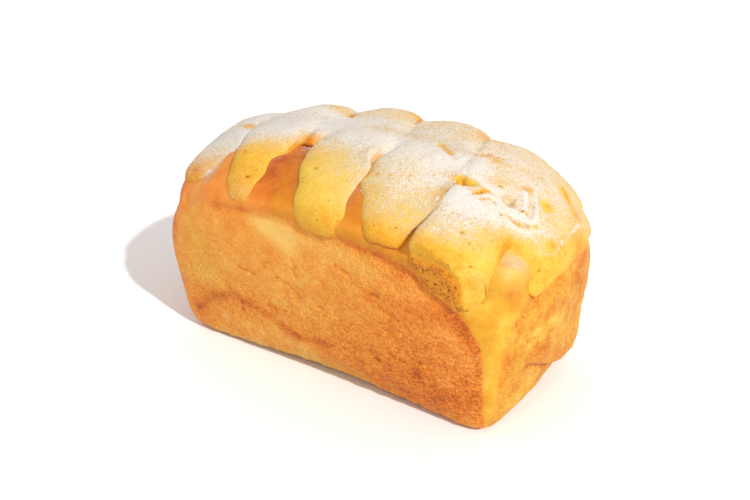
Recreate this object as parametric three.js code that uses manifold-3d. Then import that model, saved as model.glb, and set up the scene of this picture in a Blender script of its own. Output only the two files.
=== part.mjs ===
// A tin loaf of enriched bread with stripes of yellow sponge topping piped across its dome.
// Units are millimetres and +Z is up. X runs along the loaf, -Y is its front side and +X its right end.
// The origin is on the table, under the middle of the loaf's bounding box.
import * as THREE from "three";
import { mergeVertices } from "three/addons/utils/BufferGeometryUtils.js";
import Module from "manifold-3d";

const wasm = await Module();
wasm.setup();

// Driving sizes of the bread, as the flared tin formed it.
const BASE_LENGTH = 188;
const BASE_WIDTH = 91;
const END_FLARE = 0.14; // how far each end leans out for each millimetre of height
const SIDE_FLARE = 0.16;
const LEFT_END_BOW = 0.5; // how far each end bows out at mid height
const RIGHT_END_BOW = 5.5;
const SIDE_BOW = 2.6;
const BOW_HEIGHT = 60;
const FLARE_TOP = 110; // the walls stop leaning out above this height

// The dough fills the tin to its walls, and above them it is a blob with these half sizes.
const BLOB_HEIGHT = 48; // height of the blob's middle, and of every ray that looks for the surface
const BLOB_HALF_LENGTH = 113;
const BLOB_HALF_WIDTH = 88;
const BLOB_RISE = 65.5;
const LENGTH_POWER = 2.9; // 2 is an ellipse, and more is boxier
const SECTION_POWER = 2;
const EDGE_POWER = 24; // how sharply wall, base and dome meet
const TOP_CORNER_POWER = 8; // how sharp the upright corners are at the top, where they are roundest
const BASE_SKIM = 0.6; // taken off the underside, so that it lies flat

// Squares of the box grid that is pushed out to the bread's surface.
const GRID = { x: 32, y: 17, z: 14 };

// The topping.
const TOPPING_GAP = 0.35; // clearance under the topping, over the bread
const STRIPE_ROOT = 5; // how deep a stripe reaches below the bread's surface before it is trimmed
const STRIPE_RINGS = 22;
const STRIPE_SIDES = 16;
const STRIPE_END_POWER = 5.6; // how blunt the ends of a stripe are, seen from above
const CORE_HALF_LENGTH = 70; // past this, a stripe turns over the shoulder of the loaf
const SHOULDER_RADIUS = 45;
const TIN_GRID = 3; // squares along each side of the trimming box

// Each stripe crosses from front to back. edges gives its left and right edge along the loaf at some turns
// from upright, in degrees and from its front end to its back end. thick is its height over the bread at
// [front end, middle, back end], and lean tilts the edges of its two ends. wall is how far it may stand out
// from the tin's wall, and square is how boxy its section is.
const STRIPES = [
  {
    edges: [
      [-50, -88, -74],
      [-37, -95, -70],
      [-24, -99, -65],
      [5, -101, -60],
      [32, -103, -72],
      [53, -100, -78],
    ],
    thick: [6, 8, 7],
    lean: 0,
    wall: 1,
    square: 2.6,
  },
  {
    edges: [
      [-54, -47, -33.5],
      [-38, -57, -35],
      [-20, -66, -33],
      [-4, -69, -25],
      [31, -71, -36],
      [56, -67, -46],
    ],
    thick: [6, 7.5, 7.5],
    lean: 0,
    wall: 2.2,
    square: 2.7,
  },
  {
    edges: [
      [-56.5, -2, 19],
      [-42, -8, 18],
      [-26, -16, 17.5],
      [-5, -20, 20],
      [35, -33, -1],
      [57, -28, -7],
    ],
    thick: [6.5, 7.5, 8],
    lean: 0,
    wall: 2.2,
    square: 2.7,
  },
  {
    edges: [
      [-54, 35, 52.5],
      [-42, 28, 54.5],
      [-29, 19.5, 57.5],
      [-6, 16, 59],
      [37, 1, 41.5],
      [57, 8, 36],
    ],
    thick: [6.5, 7.5, 8],
    lean: 0,
    wall: 2.2,
    square: 2.7,
  },
  {
    edges: [
      [-66, 60, 88],
      [-46, 59.5, 86.5],
      [-30, 58, 87],
      [-5, 54, 90],
      [38, 43.5, 90],
      [60, 51, 86],
    ],
    thick: [24, 8, 8],
    lean: -0.28,
    wall: 0.6,
    square: 3.6,
  },
  {
    edges: [
      [-52, 97, 105.5],
      [-42, 92.5, 108],
      [-30, 82, 110.5],
      [0, 73, 113],
      [36, 78, 108],
      [55, 84, 99],
    ],
    thick: [7, 7, 4.5],
    lean: 0,
    wall: 0.6,
    square: 3.2,
  },
];

// The stripes run into each other along the crest, in one low ridge from end to end.
const RIDGE = { from: -92, to: 102, turn: 1, halfTurn: 19, thick: 6.2 };

// Torn places in the topping: a centre, its three half sizes and its turn about the upright axis, in
// degrees.
const TEARS = [
  { at: [60, -22, 115], half: [6.5, 2.6, 6], turn: 18 },
  { at: [59, 12, 117], half: [8, 2.4, 8], turn: 24 },
  { at: [93, 7, 104], half: [3, 2.6, 5], turn: 0 },
  { at: [93, 27, 100], half: [3, 2.2, 5], turn: 0 },
  { at: [87, -11, 110], half: [10, 8, 8.5], turn: 40 },
];

// The curled flake that stands in the widest tear: a bent bar, seen from above as a letter C.
const CURL = { at: [87, -11, 103.5], radius: 4.2, sweep: 125, half: [1.3, 1.9], turn: 200 };

const signedPower = (value, power) => Math.sign(value) * Math.abs(value) ** power;

// How far a wall bows at a height, as a share of its full bow.
const bowAt = (z) => Math.max(0, 1 - ((z - BOW_HEIGHT) / BOW_HEIGHT) ** 2);
const taper = (offset, half) => Math.max(0, 1 - (offset / half) ** 2);

// Half the length and half the width of the inside of the tin at a point.
function tinHalfLength(x, y, z) {
  const lean = END_FLARE * THREE.MathUtils.clamp(z, 0, FLARE_TOP);
  const bow = x < 0 ? LEFT_END_BOW : RIGHT_END_BOW;
  return BASE_LENGTH / 2 + lean + bow * bowAt(z) * taper(y, BASE_WIDTH / 2);
}

function tinHalfWidth(x, z) {
  const lean = SIDE_FLARE * THREE.MathUtils.clamp(z, 0, FLARE_TOP);
  return BASE_WIDTH / 2 + lean + SIDE_BOW * bowAt(z) * taper(x, BASE_LENGTH / 2);
}

// Slow swells that keep the dome from being even.
function swell(p) {
  const along = Math.sin(p.x / 31 + 0.8) * Math.cos(p.y / 37 - 0.4);
  const across = Math.sin(p.x / 19 - p.y / 23 + 1.7);
  return 1 + 0.011 * along + 0.006 * across;
}

// Under 1 inside the blob of dough, and 1 on its surface.
function blobMeasure(p) {
  const up = Math.max(p.z - BLOB_HEIGHT, 0) / BLOB_RISE;
  const section = Math.abs(p.y / BLOB_HALF_WIDTH) ** SECTION_POWER + up ** SECTION_POWER;
  const sum = Math.abs(p.x / BLOB_HALF_LENGTH) ** LENGTH_POWER + section;
  return Math.sqrt(sum) * swell(p);
}

// Places where the dough didn't press against the tin: shallow hollows in its sides, and rounder lower
// edges along both of them. Those with a depth below zero are bulges: over the pinched lower edge at the
// right end, on the back of the dome and on its left shoulder.
const HOLLOWS = [
  { at: [12, -46, 0], half: [80, 14, 12], depth: 4.5 },
  { at: [12, 46, 0], half: [80, 14, 12], depth: 4.5 },
  { at: [-24, -60, 83], half: [20, 20, 9], depth: 1.6 },
  { at: [20, -60, 83], half: [34, 20, 8], depth: 1.4 },
  { at: [94, 38, 0], half: [16, 26, 7], depth: 5 },
  { at: [99, 42, 14], half: [14, 22, 9], depth: -2.5 },
  { at: [-50, 61, 80], half: [26, 20, 9], depth: 1.5 },
  { at: [34, 61, 82], half: [30, 20, 8], depth: 1.6 },
  { at: [-94, -42, 0], half: [12, 12, 8], depth: 0.9 },
  { at: [17, 42, 98], half: [50, 24, 20], depth: -4.5 },
  { at: [-84, -16, 98], half: [14, 22, 12], depth: -1.6 },
];

// In the upper corners of the right end the dough rose level with the stripes on either side of it.
const CORNER_RISES = [
  { at: [93, -40, 82], half: [10, 11, 15], depth: -6 },
  { at: [94, 42, 80], half: [10, 11, 15], depth: -1.5 },
];

// How deep the hollows are at a point of the surface.
function hollowDepth(hollows, p) {
  let depth = 0;
  for (const hollow of hollows) {
    const [x, y, z] = [0, 1, 2].map((i) => (p.getComponent(i) - hollow.at[i]) / hollow.half[i]);
    depth += hollow.depth * Math.exp(-1.2 * (x * x + y * y + z * z));
  }
  return depth;
}

// Under 1 inside the bread: walls, base and blob, joined with a small rounding.
function breadMeasure(p) {
  const rise = THREE.MathUtils.clamp(p.z / FLARE_TOP, 0, 1);
  const corner = THREE.MathUtils.lerp(EDGE_POWER, TOP_CORNER_POWER, rise);
  const end = Math.abs(p.x / tinHalfLength(p.x, p.y, p.z)) ** corner;
  const side = Math.abs(p.y / tinHalfWidth(p.x, p.z)) ** corner;
  const walls = (end + side) ** (EDGE_POWER / corner);
  const base = (Math.max(BLOB_HEIGHT - p.z, 0) / BLOB_HEIGHT) ** EDGE_POWER;
  return (walls + base + blobMeasure(p) ** EDGE_POWER) ** (1 / EDGE_POWER);
}

// Distance from a start inside the bread to its surface along a ray, found by halving.
function reachTo(measure, start, ray) {
  const point = new THREE.Vector3();
  let near = 0;
  let far = 200;
  for (let step = 0; step < 26; step += 1) {
    const middle = (near + far) / 2;
    point.copy(start).addScaledVector(ray, middle);
    if (measure(point) < 1) near = middle;
    else far = middle;
  }
  return near;
}

// A point of the bread's surface on a ray, moved out by lift, with the given hollows pressed in.
function surfacePoint(start, ray, lift, hollows) {
  const point = start.clone().addScaledVector(ray, reachTo(breadMeasure, start, ray));
  const depth = hollowDepth(hollows, point);
  return point.addScaledVector(ray, lift - depth);
}

// A copy of a geometry with each vertex moved by place(point), its shared vertices merged.
function reshaped(geometry, place) {
  geometry.deleteAttribute("normal");
  geometry.deleteAttribute("uv");
  const merged = mergeVertices(geometry, 1e-4);
  const position = merged.getAttribute("position");
  const point = new THREE.Vector3();
  for (let i = 0; i < position.count; i += 1) {
    const moved = place(point.fromBufferAttribute(position, i));
    position.setXYZ(i, moved.x, moved.y, moved.z);
  }
  return merged;
}

// The bread, grown by lift: a box grid with its points pushed out along rays from the blob's middle.
function breadGeometry(lift) {
  const centre = new THREE.Vector3(0, 0, BLOB_HEIGHT);
  const height = BLOB_HEIGHT + BLOB_RISE;
  const box = new THREE.BoxGeometry(BASE_LENGTH, BASE_WIDTH, height, GRID.x, GRID.y, GRID.z);
  box.translate(0, 0, height / 2);
  return reshaped(box, (corner) => {
    const ray = corner.clone().sub(centre).normalize();
    const point = surfacePoint(centre, ray, lift, [...HOLLOWS, ...CORNER_RISES]);
    point.z = Math.max(point.z - BASE_SKIM, -lift);
    return point;
  });
}

// Blends [front, middle, back] over t, from -1 at the front end to 1 at the back end.
function station([front, middle, back], t) {
  const end = t < 0 ? front : back;
  return THREE.MathUtils.lerp(middle, end, t * t);
}

// Reads one column of a table of stations at a turn, on a smooth line through all of them.
function readEdge(edges, column, turn) {
  const last = edges.length - 2;
  let i = 0;
  while (i < last && turn > edges[i + 1][0]) i += 1;
  const slope = (k) => {
    const before = edges[Math.max(k - 1, 0)];
    const after = edges[Math.min(k + 1, edges.length - 1)];
    return (after[column] - before[column]) / (after[0] - before[0]);
  };
  const span = edges[i + 1][0] - edges[i][0];
  const u = (turn - edges[i][0]) / span;
  const rise = u * u * (3 - 2 * u);
  const ease = span * u * (1 - u) * ((1 - u) * slope(i) - u * slope(i + 1));
  return edges[i][column] + rise * (edges[i + 1][column] - edges[i][column]) + ease;
}

// Soft lumps in the topping, as a share of its height.
function lump(along, degrees) {
  return 1 + 0.09 * Math.sin(along / 7 + degrees / 9) + 0.07 * Math.sin(degrees / 6.5 - along / 11 + 1);
}

// The point over the bread at a distance along the loaf, turned from upright towards the back, at a lift.
function overBread(along, turn, lift) {
  const past = Math.max(Math.abs(along) - CORE_HALF_LENGTH, 0) / SHOULDER_RADIUS;
  const start = new THREE.Vector3(
    THREE.MathUtils.clamp(along, -CORE_HALF_LENGTH, CORE_HALF_LENGTH),
    0,
    BLOB_HEIGHT,
  );
  const ray = new THREE.Vector3(
    Math.sign(along) * Math.sin(past),
    Math.cos(past) * Math.sin(turn),
    Math.cos(past) * Math.cos(turn),
  );
  const point = surfacePoint(start, ray, lift, HOLLOWS);
  point.z -= BASE_SKIM;
  return point;
}

// A blunt rounded bar laid on the bread. place(t, across) tells where a point of it is, from t -1 at one end
// to 1 at the other and across -1 to 1 from edge to edge: its place along, its turn and the bar's height.
function barGeometry(square, place) {
  const ball = new THREE.SphereGeometry(1, STRIPE_SIDES, STRIPE_RINGS);
  return reshaped(ball, (p) => {
    // The ball's poles, on its Y axis, become the two ends.
    const t = THREE.MathUtils.clamp(p.y, -1, 1);
    const girth = (1 - Math.abs(t) ** STRIPE_END_POWER) ** (1 / STRIPE_END_POWER);
    const ring = Math.max(Math.hypot(p.x, p.z), 1e-9);
    const across = signedPower(p.x / ring, 2 / square) * girth;
    const height = signedPower(p.z / ring, 2 / square) * girth;
    const { along, degrees, thick } = place(t, across);
    const top = thick * lump(along, degrees);
    const lift = height * (height > 0 ? top : STRIPE_ROOT);
    return overBread(along, THREE.MathUtils.degToRad(degrees), lift);
  });
}

function stripeGeometry(stripe) {
  const front = stripe.edges[0][0];
  const back = stripe.edges[stripe.edges.length - 1][0];
  return barGeometry(stripe.square, (t, across) => {
    const bend = t < 0 ? -t * front : t * back;
    const left = readEdge(stripe.edges, 1, bend);
    const right = readEdge(stripe.edges, 2, bend);
    const offset = (across * (right - left)) / 2;
    const degrees = bend - stripe.lean * offset * t;
    return { along: (left + right) / 2 + offset, degrees, thick: station(stripe.thick, t) };
  });
}

function ridgeGeometry() {
  return barGeometry(1.5, (t, across) => {
    const along = THREE.MathUtils.lerp(RIDGE.from, RIDGE.to, (1 - t) / 2);
    return { along, degrees: RIDGE.turn + across * RIDGE.halfTurn, thick: RIDGE.thick };
  });
}

// The inside of the tin, carried on up and down and moved out by extra. It trims the topping flat.
function tinGeometry(extra) {
  const height = 2 * FLARE_TOP;
  const box = new THREE.BoxGeometry(2, 2, height, 8 * TIN_GRID, 4 * TIN_GRID, 8 * TIN_GRID);
  return reshaped(box, (p) => {
    const z = p.z + height / 4;
    const x = p.x * (tinHalfLength(p.x, (p.y * BASE_WIDTH) / 2, z) + extra);
    return new THREE.Vector3(x, p.y * (tinHalfWidth(x, z) + extra), z);
  });
}

function toSolid(geometry) {
  return new wasm.Manifold(
    new wasm.Mesh({
      numProp: 3,
      vertProperties: new Float32Array(geometry.getAttribute("position").array),
      triVerts: new Uint32Array(geometry.index.array),
    }),
  );
}

function toGeometry(solid) {
  const mesh = solid.getMesh();
  const geometry = new THREE.BufferGeometry();
  geometry.setAttribute("position", new THREE.BufferAttribute(mesh.vertProperties, 3));
  geometry.setIndex(new THREE.BufferAttribute(mesh.triVerts, 1));
  geometry.computeVertexNormals();
  return geometry;
}

function tearSolid(tear) {
  const ball = new THREE.SphereGeometry(1, 12, 8);
  ball.scale(...tear.half);
  ball.rotateZ(THREE.MathUtils.degToRad(tear.turn));
  ball.translate(...tear.at);
  return toSolid(reshaped(ball, (p) => p.clone()));
}

function curlSolid() {
  const ball = new THREE.SphereGeometry(1, 8, 16);
  const bar = reshaped(ball, (p) => {
    // The ball's poles, on its Y axis, become the bar's two ends.
    const t = Math.asin(THREE.MathUtils.clamp(p.y, -1, 1)) / (Math.PI / 2);
    const angle = THREE.MathUtils.degToRad(CURL.turn + CURL.sweep * t);
    const radius = CURL.radius + p.x * CURL.half[0];
    return new THREE.Vector3(radius * Math.cos(angle), radius * Math.sin(angle), p.z * CURL.half[1]);
  });
  bar.translate(...CURL.at);
  return toSolid(bar);
}

// The ridge and all stripes fused, trimmed by the tin and by the bread, with the torn places cut out.
function toppingGeometry() {
  let topping = toSolid(ridgeGeometry());
  for (const stripe of STRIPES) {
    topping = topping.add(toSolid(stripeGeometry(stripe)).intersect(toSolid(tinGeometry(stripe.wall))));
  }
  topping = topping.subtract(toSolid(breadGeometry(TOPPING_GAP)));
  for (const tear of TEARS) topping = topping.subtract(tearSolid(tear));
  topping = topping.add(curlSolid());
  const pieces = topping.decompose();
  pieces.sort((a, b) => b.volume() - a.volume());
  return toGeometry(pieces[0]);
}

function breadMesh() {
  const material = new THREE.MeshStandardMaterial({ color: 0xd98a3a, roughness: 0.62, metalness: 0 });
  const mesh = new THREE.Mesh(breadGeometry(0), material);
  mesh.name = "bread";
  return mesh;
}

function toppingMesh() {
  const material = new THREE.MeshStandardMaterial({ color: 0xf3bd4c, roughness: 0.78, metalness: 0 });
  const mesh = new THREE.Mesh(toppingGeometry(), material);
  mesh.name = "topping";
  return mesh;
}

const loaf = new THREE.Group();
loaf.add(breadMesh(), toppingMesh());

// Puts the origin on the table, under the middle of the loaf's box.
const box = new THREE.Box3().setFromObject(loaf);
const middle = box.getCenter(new THREE.Vector3());
loaf.position.set(-middle.x, -middle.y, -box.min.z);

export default loaf;
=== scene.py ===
"""Looks of the tin loaf: a golden crust, a yellow sponge topping in stripes, and icing sugar.

Lengths are in millimetres up to the last step of each function, and metres in Blender. Places on the loaf
are given in three ways: on the long side walls by (along, height), on the ends by (across, height), and
on the dome by (along, turn), where turn is the angle in degrees from straight up about the line that runs
along the loaf 48 mm above the table, negative towards the front.
"""

import math

import bpy
import numpy as np
from mathutils import Matrix, Vector


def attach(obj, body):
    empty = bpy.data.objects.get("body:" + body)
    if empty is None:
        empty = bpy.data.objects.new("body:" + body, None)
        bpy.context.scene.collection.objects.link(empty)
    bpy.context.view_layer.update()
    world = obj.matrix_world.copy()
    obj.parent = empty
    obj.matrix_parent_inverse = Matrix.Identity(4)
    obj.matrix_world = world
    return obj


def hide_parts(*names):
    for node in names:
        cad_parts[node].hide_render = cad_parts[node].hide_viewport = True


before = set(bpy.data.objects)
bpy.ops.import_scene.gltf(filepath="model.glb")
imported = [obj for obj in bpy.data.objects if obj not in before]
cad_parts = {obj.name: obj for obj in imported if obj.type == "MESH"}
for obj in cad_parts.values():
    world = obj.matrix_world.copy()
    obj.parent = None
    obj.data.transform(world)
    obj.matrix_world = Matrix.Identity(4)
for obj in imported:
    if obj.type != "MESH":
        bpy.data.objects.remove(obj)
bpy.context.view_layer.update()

MM = 0.001
SEED = 20              # every uneven pattern and every scattering starts from this number

# The middle line that the dome is measured from: its place along and across the loaf, and its height.
MIDDLE_ALONG = -2.9
MIDDLE_ACROSS = -0.3
MIDDLE_HEIGHT = 48.0
CORE_HALF_LENGTH = 70.0
SHOULDER_RADIUS = 45.0

# Size of the faces that the relief is made of, and rounds of smoothing before it.
BREAD_GRAIN = 1.1
BREAD_SMOOTHING = 10
TOPPING_GRAIN = 0.88
TOPPING_SMOOTHING = 4


# ---- numbers

def blend_in(value, start, end):
    """Rises smoothly from 0 to 1 while value goes from start to end. It may also go down."""
    share = np.clip((value - start) / (end - start), 0.0, 1.0)
    return share * share * (3.0 - 2.0 * share)


def corner_value(cell, seed):
    """An even random number from -1 to 1 for each whole-number cell."""
    x, y, z = (cell[..., i].astype(np.uint32) for i in range(3))
    mixed = x * np.uint32(374761393) + y * np.uint32(668265263) + z * np.uint32(2147483647)
    mixed = mixed + np.uint32(seed * 974711 + 12345)
    mixed = (mixed ^ (mixed >> np.uint32(13))) * np.uint32(1274126177)
    mixed = (mixed ^ (mixed >> np.uint32(16))) * np.uint32(2246822519)
    mixed = mixed ^ (mixed >> np.uint32(15))
    return mixed.astype(np.float64) / 2147483647.5 - 1.0


def lumps(points, size, seed):
    """Smooth unevenness from -1 to 1, with bumps about one size wide."""
    grid = points / size + 1000.0
    cell = np.floor(grid)
    part = grid - cell
    ease = part * part * part * (part * (part * 6.0 - 15.0) + 10.0)
    cell = cell.astype(np.int64)
    total = np.zeros(len(points))
    for corner in range(8):
        step = np.array([corner & 1, (corner >> 1) & 1, (corner >> 2) & 1])
        weight = np.prod(np.where(step == 1, ease, 1.0 - ease), axis=1)
        total += weight * corner_value(cell + step, SEED + seed)
    return total


def rough(points, size, seed, layers=3):
    """Unevenness with finer bumps on the coarse ones."""
    total = np.zeros(len(points))
    share = 1.0
    for layer in range(layers):
        total += share * lumps(points, size / 2 ** layer, seed + layer)
        share *= 0.55
    return total / 1.6


def wrinkles(points, size, seed):
    """Fine lines between soft swellings: 1 on a line, falling off beside it."""
    bent = points + 0.35 * size * np.stack([lumps(points, size, seed + k) for k in (1, 2, 3)], axis=1)
    return np.exp(-(lumps(bent, size, seed) / 0.10) ** 2)


def spot(first, second, at, half):
    """1 in the middle of an oval place, falling off round it."""
    return np.exp(-((first - at[0]) / half[0]) ** 2 - ((second - at[1]) / half[1]) ** 2)


def line_spot(first, second, line, half_width):
    """1 on a line through the given points, falling off beside it."""
    nearest = np.full(len(first), 1e9)
    here = np.stack([first, second], axis=1)
    for start, end in zip(line, line[1:]):
        start, end = np.array(start, float), np.array(end, float)
        way = end - start
        share = np.clip((here - start) @ way / (way @ way), 0.0, 1.0)
        gap = here - start - share[:, None] * way
        nearest = np.minimum(nearest, np.hypot(gap[:, 0], gap[:, 1]))
    return np.exp(-(nearest / half_width) ** 2)


def with_spots(value, first, second, spots):
    """The value with a change in each oval place: middle, half sizes, change."""
    for at, half, change in spots:
        value = value + change * spot(first, second, at, half)
    return value


def with_lines(value, first, second, lines):
    """The value with a change on each line: points, half width, change."""
    for line, half_width, change in lines:
        value = value + change * line_spot(first, second, line, half_width)
    return value


def along_curve(value, stops):
    """Reads a curve that is given by its stops."""
    places, heights = zip(*stops)
    return np.interp(value, places, heights)


# ---- mesh work

def only(piece):
    """Leaves just this piece selected and active."""
    bpy.ops.object.select_all(action="DESELECT")
    piece.select_set(True)
    bpy.context.view_layer.objects.active = piece


def apply_modifier(piece, kind, **settings):
    only(piece)
    modifier = piece.modifiers.new(kind.title(), kind)
    for name, value in settings.items():
        setattr(modifier, name, value)
    bpy.ops.object.modifier_apply(modifier=modifier.name)


def baked_copy(node, name, grain, softening):
    """A closed copy of a CAD solid in small even faces, with the facets of the solid rounded off."""
    only(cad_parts[node])
    bpy.ops.object.duplicate()
    piece = bpy.context.active_object
    piece.name = name
    piece.data.name = name
    piece.parent = None
    for key in list(piece.keys()):
        del piece[key]
    piece.data.materials.clear()
    bpy.ops.object.mode_set(mode="EDIT")
    bpy.ops.mesh.select_all(action="SELECT")
    bpy.ops.mesh.remove_doubles(threshold=0.01 * MM)
    bpy.ops.mesh.normals_make_consistent(inside=False)
    bpy.ops.object.mode_set(mode="OBJECT")
    apply_modifier(piece, "SUBSURF", levels=1, render_levels=1)
    apply_modifier(piece, "REMESH", mode="VOXEL", voxel_size=grain * MM)
    apply_modifier(piece, "SMOOTH", factor=0.5, iterations=softening)
    for face in piece.data.polygons:
        face.use_smooth = True
    return piece


class Skin:
    """The points of a piece in millimetres, with their normals and their places on the loaf."""

    def __init__(self, piece):
        self.piece = piece
        count = len(piece.data.vertices)
        flat = np.zeros(count * 3)
        piece.data.vertices.foreach_get("co", flat)
        self.points = flat.reshape(-1, 3) / MM
        piece.data.vertices.foreach_get("normal", flat)
        self.normals = flat.reshape(-1, 3).copy()
        self.along = self.points[:, 0] - MIDDLE_ALONG
        self.across = self.points[:, 1] - MIDDLE_ACROSS
        self.height = self.points[:, 2]
        self.turn = np.degrees(np.arctan2(self.across, self.height - MIDDLE_HEIGHT))
        past = np.abs(self.along) - CORE_HALF_LENGTH
        out = np.hypot(self.across, self.height - MIDDLE_HEIGHT)
        bent = CORE_HALF_LENGTH + SHOULDER_RADIUS * np.arctan2(np.maximum(past, 0.0), out)
        self.place = np.where(past > 0.0, np.sign(self.along) * bent, self.along)
        middle = np.clip(self.along, -CORE_HALF_LENGTH, CORE_HALF_LENGTH)
        away = np.stack([self.along - middle, self.across, self.height - MIDDLE_HEIGHT], axis=1)
        self.outward = away / np.linalg.norm(away, axis=1)[:, None]

    def push(self, distance, sunk=0.0, along=0.0, back=0.0):
        """Moves the points outwards by a distance each, into the loaf, along it and towards the back."""
        out = self.normals * distance[:, None] - self.outward * np.reshape(sunk, (-1, 1))
        moved = (self.points + out) * MM
        moved[:, 0] += along * MM
        moved[:, 1] += back * MM
        self.piece.data.vertices.foreach_set("co", moved.ravel())
        self.piece.data.update()

    def paint(self, **layers):
        """Keeps values from 0 to 1 on every point, for the material."""
        for name, values in layers.items():
            layer = self.piece.data.attributes.new(name, "FLOAT", "POINT")
            layer.data.foreach_set("value", np.clip(values, 0.0, 1.0).astype(np.float32))


# ---- places on the dome, by (along, turn)

# The crease between the two widest stripes, and a dusty strip in the gap on their left.
CREASE_AT = 56
WIDEST_CREASE = [(CREASE_AT, -33), (CREASE_AT, -14)]
THIRD_GAP = [(17, -16), (23, -28), (20.5, -35)]

# Torn places on the crest: a crack, the edges of a tear, and the two edges of the flake that curls up.
TORN_PLACE = (60.5, -17.5)
CREST_CRACK = [(35.3, 2.4), (39.9, -0.2), (48.7, -4.9)]
TEAR_EDGE = [(68.2, -23.9), (70.5, -21.4), (71.1, -18.8), (71.9, -17.2)]
SHORT_TEAR = [(72.3, -22.8), (74.3, -20.3)]
UNDER_FLAKE = (79, -12)
FLAKE_LEFT = [(79.9, -2.1), (82.4, -7.5), (84.6, -14.8)]
FLAKE_RIGHT = [(81.6, 2.8), (85.1, -2.3), (88.2, -9.5), (88.7, -16.6)]


# ---- sugar

# Turn at which the icing sugar starts on the front slope, at which it lies full, and how thick it lies, by
# place along.
SUGAR_START = [(-108, -64), (-88, -62), (-72, -58), (-64, -54), (-56, -42), (-48, -38), (-40, -36),
               (-32, -30), (-22, -27), (-14, -32), (-6, -38), (4, -42), (12, -47), (20, -54), (26, -54),
               (34, -57), (44, -58), (52, -58), (57, -58), (64, -58), (72, -54), (78, -50), (84, -46),
               (90, -42), (97, -36), (103, -30), (112, -20)]
SUGAR_FULL = [(-108, -22), (-80, -24), (-70, -24), (-56, -20), (-40, -17), (-30, -10), (-16, -8), (0, -12),
              (20, -14), (32, -18), (46, -22), (58, -32), (66, -34), (76, -28), (86, -20), (96, -12),
              (112, 0)]
SUGAR_THICKNESS = [(-108, 0.84), (-84, 0.96), (-60, 0.96), (-30, 0.9), (20, 0.88), (40, 0.84), (60, 0.88),
                   (76, 0.86), (90, 0.74), (99, 0.6), (103, 0.16), (107, 0.04)]

# Where the sugar is greyed as painted shade, on the left and along the crest: (along, turn), half sizes.
SHADED_SUGAR_PLACES = [((-74, -22), (16, 14)), ((-58, -8), (26, 16)), ((-20, -5), (30, 11)), ((14, 3), (26, 9)),
              ((44, 3), (10, 6))]

# Places on the dome with more or less sugar: (along, turn), half sizes, change.
SUGAR_PATCHES = [
    ((66, -27), (8, 5), 0.16), ((34, -21), (12, 6), -0.18), ((47, -10), (8, 5), 0.14),
    ((-68, -13), (6, 2.4), -0.75), ((60.5, -17.2), (7.5, 2.2), -1), ((58, 7), (7, 3.6), -0.6),
    ((69, -21), (3.5, 1.2), -0.45), ((72, -17), (3, 1), -0.4), ((73, -24), (2.5, 1.2), -0.35),
    ((88.3, 3), (2.4, 2.8), -0.85), ((86, 28), (4, 5), -0.6), ((-38, 17), (12, 6), -0.26),
    ((-3, 38), (7, 12), -0.34), ((31, 22), (13, 8), 0.06), ((12, -28), (8, 7), 0.1),
    ((72, -43), (10, 5), 0.12), ((74, -51), (12, 4), -0.18), ((42, -51), (10, 4), -0.12),
    ((57, -30), (6, 6), -0.3), ((-26, -16), (5.5, 4.5), -0.34), ((91, -30), (5, 5), -0.15),
    ((54.4, -26), (5, 5), -0.45), ((41, 33), (6, 10), -0.32), ((80, -13.6), (2.6, 2.2), -0.35),
    ((68, -10), (4, 3), -0.2), ((80, 1.5), (2.6, 2.2), -0.5), ((85, -12.8), (1.2, 1.4), -0.7),
    ((94, 26), (4, 6), -0.3), ((88, -36), (4, 6), -0.35), ((93, -40), (5, 7), -0.3),
    ((99, -16), (2.6, 4), -0.35), ((10, 4), (12, 5), -0.16), ((26, 4), (14, 5), -0.2),
    ((46, 4), (10, 5), -0.2), ((-27, -16), (5, 4), -0.25), ((70, -10), (6, 4), -0.06),
    ((19, -38), (5, 9), 0.24), ((-80, -48), (12, 10), -0.12), ((-92, -20), (10, 14), 0.16),
    ((78, 14), (18, 14), 0.05), ((-14, -26), (4, 8), 0.2), ((40, -40), (8, 8), 0.18),
    ((20, 22), (10, 8), -0.06), ((2, 1), (9, 4), -0.12), ((-40, -50), (8, 6), 0.14),
    ((84, -54), (6, 8), 0.12), ((58, -16), (8, 5), -0.15), ((34, -12), (14, 6), -0.05),
]
# Lines of sugar, and bare lines: (along, turn) points, half width, change.
SUGAR_LINES = [
    ([(84.8, -27.4), (88.6, -23.4), (92.9, -22), (96.5, -22.8), (97.6, -27)], 1, 0.16),
    ([(98.6, -25.2), (102.2, -19.1), (102.1, -13.2), (101.8, -1.2), (100.6, 14.6), (97.9, 27.7)], 0.6, 0.34),
    (FLAKE_LEFT, 1.1, 0.5), (FLAKE_RIGHT, 1.1, 0.35), (TEAR_EDGE, 0.9, -0.6), (SHORT_TEAR, 0.8, -0.45),
    ([(55.3, -18.2), (58, -16.4), (66.6, -17)], 1.5, -0.9), ([(56.5, -52), (56.8, -44), (57, -36)], 1, 0.5),
    (CREST_CRACK, 1.3, -0.5), (THIRD_GAP, 2.2, -0.3),
    ([(81.4, -23.3), (84.8, -23.1), (88.2, -18.8), (90.7, -14.7)], 1, -0.7),
]


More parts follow.
